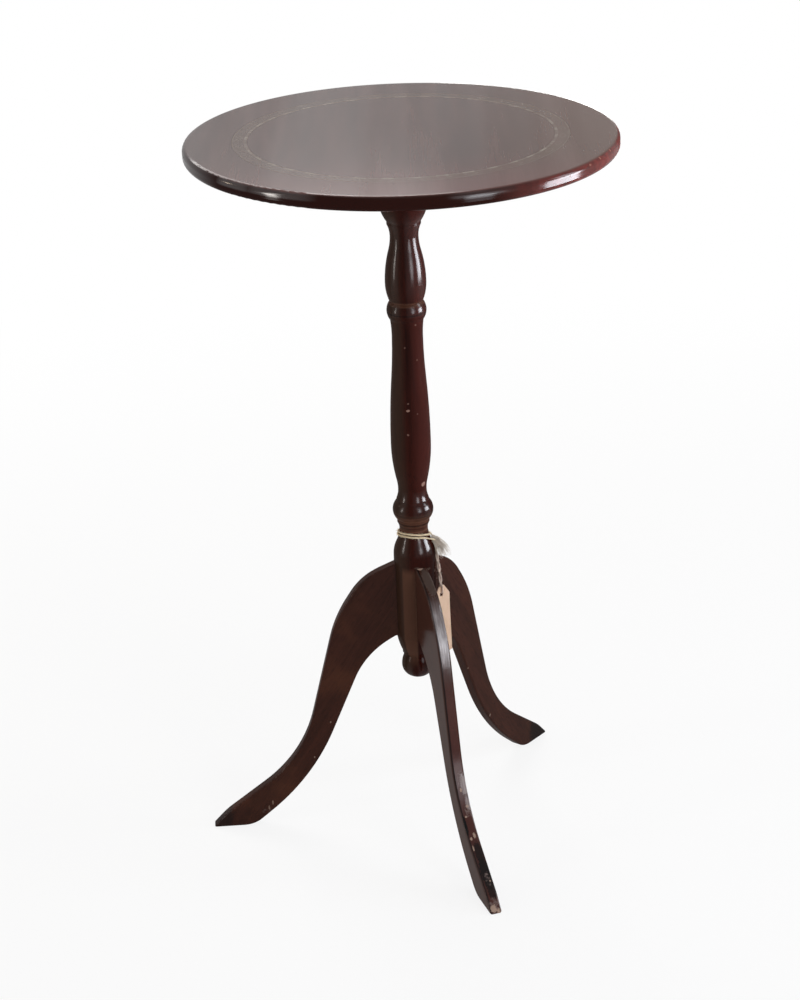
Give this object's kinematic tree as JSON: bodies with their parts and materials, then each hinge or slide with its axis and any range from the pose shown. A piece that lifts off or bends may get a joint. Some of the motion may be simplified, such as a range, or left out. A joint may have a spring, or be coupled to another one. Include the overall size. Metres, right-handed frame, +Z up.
{
  "type": "wine table",
  "caption": "Small round-topped occasional table on a turned column with splayed S-shaped legs, an inlaid band in the top and a card tag tied on with twine.",
  "frame": {"origin": "on the floor, on the column's axis", "axes": "+Z up along the column, -Y along the front leg"},
  "size_m": [0.3089, 0.3134, 0.5375],
  "materials": {
    "top_wood": "gloss",
    "turned_wood": "gloss",
    "leg_wood": "gloss",
    "banding_wood": "gloss",
    "hidden_wood": "matte",
    "screw_steel": "satin",
    "twine": "matte",
    "tag_card": "matte"
  },
  "bodies": {
    "root": {"top_panel": "top_wood", "inlay_banding": "banding_wood", "top_cleat": "hidden_wood", "cleat_screws": "screw_steel", "column": "turned_wood", "leg_front": "leg_wood", "leg_right": "leg_wood", "leg_left": "leg_wood", "pendant": "turned_wood", "pendant_dowel": "hidden_wood", "string_winding": "twine", "string_knot": "twine", "string_drop": "twine", "string_tail": "twine", "tag": "tag_card"}
  },
  "joints": []
}
